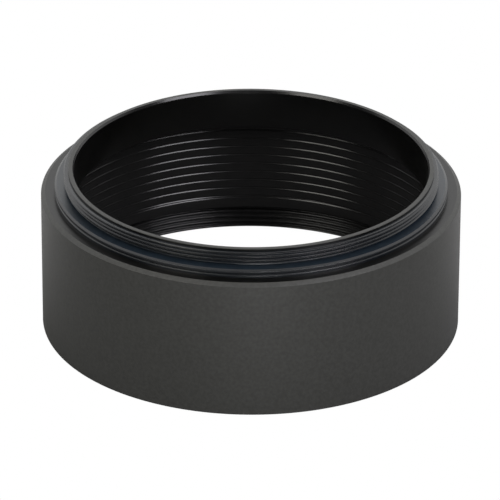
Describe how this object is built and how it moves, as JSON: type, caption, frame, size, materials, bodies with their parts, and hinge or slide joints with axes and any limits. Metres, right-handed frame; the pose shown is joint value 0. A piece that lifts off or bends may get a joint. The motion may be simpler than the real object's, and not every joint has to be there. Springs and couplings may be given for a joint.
{
  "type": "threaded extension ring",
  "caption": "Short black tube with a female thread at its base, helical baffle grooves inside, and a stepped-down neck with a fine male thread on top.",
  "frame": {"origin": "centre of the bottom face, on the optical axis", "axes": "+Z along the optical axis, from the female thread towards the male thread; +X and +Y are arbitrary directions square to it, fixed only by the start of the thread helices"},
  "size_m": [0.055, 0.055, 0.022],
  "materials": {
    "black_anodised": "satin black anodised, finely blasted outside, bright-turned neck and threads"
  },
  "bodies": {
    "root": {"extension_ring": "black_anodised"}
  },
  "joints": []
}
